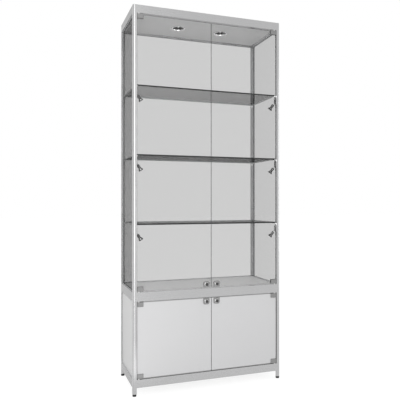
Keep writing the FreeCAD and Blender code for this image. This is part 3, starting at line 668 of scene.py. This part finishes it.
bracketScrews = []
for low, high in solidBoxes("spot_brackets"):
    way = 1 if low[0] < 0 else -1
    for drop in screwLook["bracketDrops"]:
        at = (-way * (insideX - screwLook["plate"]), low[1] + screwLook["setBack"], high[2] - drop)
        bracketScrews.append(crossScrew(at, (way, 0, 0), screwLook["flushHeight"]))
piece("bracket_screws", bracketScrews, finishes["screwZinc"], "cabinet")
print("stage: screws")


# Doors: soft strips on the cupboard doors' edges, pads and grub screws of the clamps

stripLook = {"height": 0.005, "sunk": 0.0005, "clear": 0.0015, "corner": 0.0012, "arris": 0.0003, "steps": 4}
padLook = {"border": 0.001, "thickness": 0.0006, "corner": 0.0018, "arris": 0.0002, "steps": 5}
grubLook = {"radius": 0.0026, "height": 0.0005, "depth": 0.0012, "spread": 0.009, "inset": 0.011, "rows": 18}


def edgeStrips(clamps, pane, look):
    # A soft strip on the upper and lower edge of a door, from the clamps to the meeting edge.
    atLeft = clamps[0][0] < 0
    ends = ((clamps[1][0] + look["clear"], pane[1][0]) if atLeft
            else (pane[0][0], clamps[0][0] - look["clear"]))
    faceY = (pane[0][1] + look["sunk"], pane[1][1] - look["sunk"])
    levels = ((pane[1][2], pane[1][2] + look["height"]), (pane[0][2] - look["height"], pane[0][2]))
    return [uprightSlab((ends[0], faceY[0], low), (ends[1], faceY[1], high), look) for low, high in levels]


def clampPads(low, high, pane, look):
    # A rubber sheet on each face of the pane, a little larger than the clamp.
    border = look["border"]
    x = (low[0] - border, high[0] + border)
    z = (max(low[2], pane[0][2]) - border, min(high[2], pane[1][2]) + border)
    slabs = []
    for face, way in ((pane[0][1], -1), (pane[1][1], 1)):
        near, far = sorted((face, face + way * look["thickness"]))
        slabs.append(uprightSlab((x[0], near, z[0]), (x[1], far, z[1]), look))
    return slabs


def clampGrubs(low, high, middleZ, look):
    # Two hexagon socket screws on a clamp's rear, near its end towards the door's middle height.
    centre = (low + high) / 2
    z = low[2] + look["inset"] if centre[2] > middleZ else high[2] - look["inset"]
    return [recessedHead((centre[0] + shift * look["spread"], high[1], z), (0, 1, 0), look["radius"],
                         look["height"], hexRecess, look["depth"], rows=look["rows"]) for shift in (-1, 1)]


for row, paneName in (("upper", "_door_glass"), ("lower", "_door_panel")):
    for side in ("left", "right"):
        door = f"{row}_{side}"
        pane = boxOf[door + paneName]
        clamps = boxOf[door + "_hinge_clamps"]
        if row == "lower":
            piece(door + "_edge_strips", edgeStrips(clamps, pane, stripLook), finishes["stripGrey"],
                  door + "_door")
        pads = []
        grubs = []
        for low, high in solidBoxes(door + "_hinge_clamps"):
            pads += clampPads(low, high, pane, padLook)
            grubs += clampGrubs(low, high, (clamps[0][2] + clamps[1][2]) / 2, grubLook)
        piece(door + "_clamp_pads", pads, finishes["padGrey"], door + "_door")
        piece(door + "_clamp_screws", grubs, finishes["screwZinc"], door + "_door")
print("stage: doors")


# Locks: a collar on each plate, and a turned barrel with its key slot, nut and cam

lockLook = {"collarInner": 0.00915, "collarOuter": 0.0116, "collarHeight": 0.0011, "collarSunk": 0.0002,
            "collarSteps": 9, "disc": 0.0061, "discDepth": 0.0005, "discRows": 30, "slotHalfWide": 0.0009,
            "slotHalfTall": 0.004, "slotDepth": 0.002, "slotSideFade": 0.0001, "slotEndFade": 0.0002,
            "grooveOuter": 0.0066, "grooveDepth": 0.0012, "rimDrop": 0.0001, "rimEdge": 0.0002,
            "crown": 0.0072, "round": 0.0015, "roundSteps": 9, "knob": 0.009, "knobLength": 0.01,
            "belt": ((0.0019, 0.0), (0.0016, 0.0004), (0.001, 0.0004), (0.0007, 0.0), (0.0002, 0.0),
                     (0.0, 0.0002)),
            "barrel": 0.006, "nut": 0.008, "nutThickness": 0.003}
camLook = {"reach": 0.03, "half": 0.006, "thickness": 0.003, "corner": 0.0025, "arris": 0.0003, "steps": 6}


def beadProfile(inner, outer, height, steps, power=1.0):
    # Half-round bead: height * (sin a)^power over the radius, from the inner to the outer one.
    turn = np.linspace(0, np.pi, steps)
    return list(zip(height * np.sin(turn) ** power, inner + (outer - inner) / 2 * (1 - np.cos(turn))))


def collarProfile(look):
    # A bead that starts and ends a little inside the plate.
    sunk = -look["collarSunk"]
    bead = beadProfile(look["collarInner"], look["collarOuter"], look["collarHeight"], look["collarSteps"])
    return ([(sunk, look["collarInner"])] + bead
            + [(sunk, look["collarOuter"]), (sunk, look["collarInner"])])


def barrelSurface(front, length, look, columns=96):
    # Depth from the front over the radius: a sunk disc with an upright slot, a ring groove, a rim
    # whose edge falls by round * (1 - sqrt(1 - t^2)), the knob with its belt, as distances from the
    # knob's end and inside its radius, the barrel, and a nut whose radius is
    # R cos 30 / cos(a mod 60 - 30).
    angle = np.linspace(0, 2 * np.pi, columns, endpoint=False)[None, :]
    even = np.ones((1, columns))
    reach = np.linspace(0, look["disc"], look["discRows"])[:, None]
    high, wide = abs(reach * np.cos(angle)), abs(reach * np.sin(angle))
    slot = (np.clip((look["slotHalfWide"] - wide) / look["slotSideFade"], 0, 1)
            * np.clip((look["slotHalfTall"] - high) / look["slotEndFade"], 0, 1))
    t = np.linspace(0, 1, look["roundSteps"])
    nutFront = length - look["nutThickness"]
    rim = [(look["grooveDepth"], look["disc"]), (look["grooveDepth"], look["grooveOuter"]),
           (look["rimDrop"], look["grooveOuter"]), (0, look["grooveOuter"] + look["rimEdge"])]
    rim += list(zip(look["round"] * (1 - np.sqrt(1 - t ** 2)),
                    look["crown"] + (look["knob"] - look["crown"]) * t))
    rim += [(look["knobLength"] - back, look["knob"] - inside) for back, inside in look["belt"]]
    rim += [(look["knobLength"], look["barrel"]), (nutFront, look["barrel"])]
    rim = np.array(rim)
    sixth = np.pi / 3
    flat = look["nut"] * math.cos(sixth / 2) / np.cos(angle % sixth - sixth / 2)
    along = np.concatenate([look["discDepth"] + look["slotDepth"] * slot, rim[:, :1] * even,
                            nutFront * even, length * even, length * even])
    radius = np.concatenate([reach * even, rim[:, 1:] * even, flat, flat, 0 * even])
    return around(front, (0, 1, 0), along, radius, columns)


def camSlab(x, z, way, back, look):
    # A flat cam from half its width beyond the barrel's axis to its full reach.
    ends = sorted((x - way * look["half"], x + way * look["reach"]))
    return uprightSlab((ends[0], back - look["thickness"], z - look["half"]),
                       (ends[1], back, z + look["half"]), look)


for row, way in (("upper", 1), ("lower", -1)):
    for side in ("left", "right"):
        door = f"{row}_{side}"
        x, _, z = jointOf[door + "_lock"]["pos_m"]
        plateFront = boxOf[door + "_lock_case"][0][1]
        low, high = boxOf[door + "_lock_barrel"]
        piece(door + "_lock_collar", [turnedPiece((x, plateFront, z), (0, -1, 0), collarProfile(lockLook))],
              finishes["collarChrome"], door + "_door")
        camBack = high[1] - lockLook["nutThickness"]
        piece(door + "_lock_knob", [barrelSurface((x, low[1], z), high[1] - low[1], lockLook),
                                    camSlab(x, z, way, camBack, camLook)],
              finishes["lockKnob"], door + "_lock", [door + "_lock_barrel"], sharp=30.0)
print("stage: locks")


# Downlights: a bezel with an inner lip, a faceted reflector and a bulb

downlightLook = {"bezelInner": 0.0342, "bezelOuter": 0.0419, "bezelHeight": 0.0013, "bezelSunk": 0.0001,
                 "bezelSteps": 11, "bezelPower": 0.7, "bezelColumns": 72, "lipDepth": 0.0048,
                 "lipInner": 0.0328, "lipOuter": 0.0344, "lipEdge": 0.0003, "front": 0.0224,
                 "back": 0.0106, "depth": 0.0102, "facets": 28, "rings": 7, "reflectorRise": 0.0025,
                 "bulb": 0.0042, "bulbLength": 0.008, "bulbRise": 0.001}
bowlSkin = 0.0005
bulbLook = {"steps": 8, "columns": 32}


def facetedBowl(origin, axis, frontRadius, backRadius, depth, facets, rings):
    # Bowl: radius = back + (front - back) * sqrt(share of the depth), flat facets, with an outer skin.
    share = np.linspace(0, 1, rings + 1)
    inner = backRadius + (frontRadius - backRadius) * np.sqrt(share)
    along = depth * (1 - share)
    inside = np.column_stack([along, inner])
    outside = np.column_stack([along, inner + bowlSkin])[::-1]
    return turnedPiece(origin, axis, np.concatenate([inside, outside, inside[:1]]), facets)


def bulbSurface(origin, axis, radius, length):
    # Cylinder with a half-round end: distance along the axis and radius.
    turn = np.linspace(0, np.pi / 2, bulbLook["steps"])
    profile = [(length, 0), (length, radius), (radius, radius)]
    profile += list(zip(radius * (1 - np.sin(turn)), radius * np.cos(turn)))
    return turnedPiece(origin, axis, profile, bulbLook["columns"])


def bezelProfile(look):
    # From the lip's lower end over its rounded edge and the bead, and back behind the flange.
    bead = beadProfile(look["bezelInner"], look["bezelOuter"], look["bezelHeight"], look["bezelSteps"],
                       look["bezelPower"])
    lipEnd = (-look["lipDepth"], look["lipInner"])
    return ([lipEnd, (0.0, look["lipOuter"] - look["lipEdge"])] + bead[1:]
            + [(-look["bezelSunk"], look["bezelOuter"]), (-look["bezelSunk"], look["lipOuter"]),
               (-look["lipDepth"], look["lipOuter"]), lipEnd])


for side in ("left", "right"):
    look = downlightLook
    body = "downlight_" + side
    x, y, z = jointOf[body]["pos_m"]
    flangeFace = boxOf["downlight_housings"][0][2]
    bezel = turnedPiece((x, y, flangeFace), (0, 0, -1), bezelProfile(look), look["bezelColumns"])
    piece("downlight_bezel_" + side, [bezel], finishes["chrome"], "cabinet")
    frontZ = z - look["reflectorRise"]
    bowl = facetedBowl((x, y, frontZ), (0, 0, 1), look["front"], look["back"], look["depth"],
                       look["facets"], look["rings"])
    piece("downlight_reflector_" + side, [bowl], finishes["reflector"], body, sharp=2.0)
    bulb = bulbSurface((x, y, frontZ + look["bulbRise"]), (0, 0, 1), look["bulb"], look["bulbLength"])
    piece("downlight_bulb_" + side, [bulb], finishes["bulbGlass"], body)
print("stage: downlights")


# Spotlights: a faceted reflector, a bulb and the screws of the fork

spotLook = {"drop": 53.0, "neckEnd": 0.025, "flareEnd": 0.041, "rimInset": 0.0012, "bowlBack": 0.0056,
            "bowlFront": 0.0122, "bowlShort": 0.0035, "facets": 20, "rings": 5, "bulb": 0.0047,
            "bulbLength": 0.009, "bulbReach": 0.0106, "forkReach": 0.0045}

forkScrews = []
for level in ("lower", "middle", "upper"):
    for side in ("left", "right"):
        look = spotLook
        body = f"spot_{side}_{level}"
        knuckle = np.array(jointOf[body]["pos_m"])
        tilt = np.array(jointOf[body]["axis"])
        up = np.array([0, 0, 1.0])
        drop = math.radians(look["drop"])
        beam = np.cross(up, tilt) * math.cos(drop) - up * math.sin(drop)
        bowl = facetedBowl(knuckle + beam * (look["flareEnd"] - look["rimInset"]), -beam, look["bowlFront"],
                           look["bowlBack"], look["flareEnd"] - look["neckEnd"] - look["bowlShort"],
                           look["facets"], look["rings"])
        piece(f"spot_reflector_{side}_{level}", [bowl], finishes["dimReflector"], body, sharp=2.0)
        bulb = bulbSurface(knuckle + beam * (look["neckEnd"] + look["bulbReach"]), -beam, look["bulb"],
                           look["bulbLength"])
        piece(f"spot_bulb_{side}_{level}", [bulb], finishes["bulbGlass"], body)
        for way in (-1, 1):
            at = knuckle + tilt * way * look["forkReach"]
            forkScrews.append(crossScrew(at, tilt * way, screwLook["height"]))
piece("fork_screws", forkScrews, finishes["screwZinc"], "cabinet")
print("stage: spotlights")


# Feet: a ribbed pad on a threaded stud

# The pad's lower rows are (height, distance inside its radius, share of the ribs), its upper rows
# the same with the distance below its top.
footLook = {"ribs": 24, "ribDepth": 0.00045, "padHeight": 0.012,
            "lowerRows": ((0.0, 0.0016, 0.0), (0.0004, 0.0006, 0.0), (0.0015, 0.0001, 1.0)),
            "upperRows": ((0.003, 0.0003, 1.0), (0.0012, 0.0008, 0.4), (0.0, 0.0025, 0.0)),
            "stud": 0.003, "thread": 0.001, "threadDepth": 0.00045, "threadRows": 5, "taper": 0.001,
            "tipInset": 0.0006}


def footSurface(low, high, look):
    # Pad: radius = R - depth * (1 + cos(ribs * a)) / 2 on its side. Stud: radius =
    # r - depth * |2 frac - 1|, where frac is the fraction of height / pitch - a / (2 pi), which
    # winds a V thread.
    centre = ((low[0] + high[0]) / 2, (low[1] + high[1]) / 2, low[2])
    padRadius = (high[0] - low[0]) / 2
    padHeight = look["padHeight"]
    columns = look["ribs"] * 4
    angle = np.linspace(0, 2 * np.pi, columns, endpoint=False)[None, :]
    rows = [(0.0, padRadius, 0.0), *look["lowerRows"],
            *[(padHeight - below, inside, share) for below, inside, share in look["upperRows"]],
            (padHeight, padRadius - look["stud"], 0.0)]
    level, inside, share = np.array(rows).T[:, :, None]
    reach = padRadius - inside - share * look["ribDepth"] * (1 + np.cos(look["ribs"] * angle)) / 2
    padAlong = np.broadcast_to(level, reach.shape)
    length = high[2] - low[2] - padHeight
    turns = int(round(length / look["thread"]))
    height = np.linspace(0, length, turns * look["threadRows"] + 1)[:, None]
    frac = (height / look["thread"] - angle / (2 * np.pi)) % 1.0
    taper = np.clip((length - height) / look["taper"], 0, 1)
    stud = (look["stud"] - look["threadDepth"] * np.abs(2 * frac - 1) * taper
            - look["tipInset"] * (1 - taper))
    studAlong = np.broadcast_to(padHeight + height, stud.shape)
    end = np.zeros((1, columns))
    along = np.concatenate([padAlong, studAlong, end + padHeight + length])
    return around(centre, (0, 0, 1), along, np.concatenate([reach, stud, end]), columns)


for end in ("front", "rear"):
    for side in ("left", "right"):
        name = f"foot_{end}_{side}"
        piece(name + "_pad", [footSurface(*boxOf[name], footLook)], finishes["footRubber"], name,
              [name], sharp=40.0)
print("stage: feet")


# Studio

studio = {"worldLight": 0.66, "floorGlow": 0.84, "floorColour": 0.26, "floorTones": (0.98, 1.02),
          "floorSpeck": 30.0, "floorUnseen": 0.7, "floorSize": 60.0}


def floorFinish(look):
    # Seen by the camera, or in glass and metal, the floor is pale; it lights the cabinet as a plain grey.
    f = Finish("paleFloor")
    speck = f.noise(look["floorSpeck"])
    colour = f.blend(speck, *[grey(look["floorColour"] * tone) for tone in look["floorTones"]])
    lit = f.node("BsdfDiffuse", {}, {"Color": colour})
    own = f.node("Emission", {}, {"Color": grey(1.0), "Strength": look["floorGlow"]})
    pale = f.node("AddShader", {}, {0: lit, 1: own})
    plain = f.node("BsdfDiffuse", {}, {"Color": grey(look["floorUnseen"])})
    return f.close(f.node("MixShader", {}, {0: f.seen(), 1: plain, 2: pale}))


def skyFinish(look):
    # White where it is seen, and dimmer where it only lights.
    f = Finish("studio", world=True)
    strength = look["worldLight"] + (1.0 - look["worldLight"]) * f.seen()
    return f.close(f.node("Background", {}, {"Color": grey(1.0), "Strength": strength}))


half = studio["floorSize"] / 2
floorMesh = bpy.data.meshes.new("floor")
corners = [(-half, -half, 0), (half, -half, 0), (half, half, 0), (-half, half, 0)]
floorMesh.from_pydata(corners, [], [(0, 1, 2, 3)])
floorMesh.materials.append(floorFinish(studio))
floor = bpy.data.objects.new("floor", floorMesh)
bpy.context.scene.collection.objects.link(floor)
bpy.context.scene.world = skyFinish(studio)

lamps = {
    "key": {"place": (-1.24, -3.4, 1.8), "aim": (-0.2, 0.0, 1.8), "size": (1.9, 3.6), "watts": 60.0,
            "glossy": True},
    "side": {"place": (4.4, -2.0, 1.5), "aim": (0.4, 0.0, 1.1), "size": (1.6, 2.6), "watts": 35.0,
             "glossy": True},
    "low": {"place": (-0.79, -1.2, 0.02), "turn": (180, 0, -18), "size": (0.7, 1.7), "watts": 2.8,
            "glossy": True},
    "left": {"place": (-3.6, 0.6, 1.6), "aim": (-0.4, 0.0, 1.0), "size": (2.0, 2.4), "watts": 30.0,
             "glossy": False},
}


def softLamp(name, look):
    # A rectangular lamp that faces its aim, or is turned by its angles.
    data = bpy.data.lights.new(name, "AREA")
    data.shape = "RECTANGLE"
    data.size, data.size_y = look["size"]
    data.energy = look["watts"]
    lamp = bpy.data.objects.new(name, data)
    bpy.context.scene.collection.objects.link(lamp)
    lamp.location = look["place"]
    if "turn" in look:
        lamp.rotation_euler = [math.radians(angle) for angle in look["turn"]]
    else:
        towards = Vector(look["aim"]) - Vector(look["place"])
        lamp.rotation_euler = towards.to_track_quat("-Z", "Y").to_euler()
    lamp.visible_glossy = look["glossy"]
    lamp.visible_camera = False


for name, look in lamps.items():
    softLamp(name, look)
print("stage: studio")


# Camera, fitted to the frame's straight edges; angles in degrees, focal length and frame in pixels

view = {"place": (-0.9984, -2.8626, 1.0665), "turn": 19.245, "rise": 0.204, "focal": 496.7, "frame": 400.0,
        "sensor": 36.0}

cameraData = bpy.data.cameras.new("camera")
cameraData.sensor_width = view["sensor"]
cameraData.lens = view["focal"] / view["frame"] * view["sensor"]
camera = bpy.data.objects.new("camera", cameraData)
bpy.context.scene.collection.objects.link(camera)
camera.location = view["place"]
camera.rotation_euler = Euler((math.radians(90 + view["rise"]), 0, -math.radians(view["turn"])))
bpy.context.scene.camera = camera
bpy.context.scene.view_settings.view_transform = "Standard"
print("stage: camera")
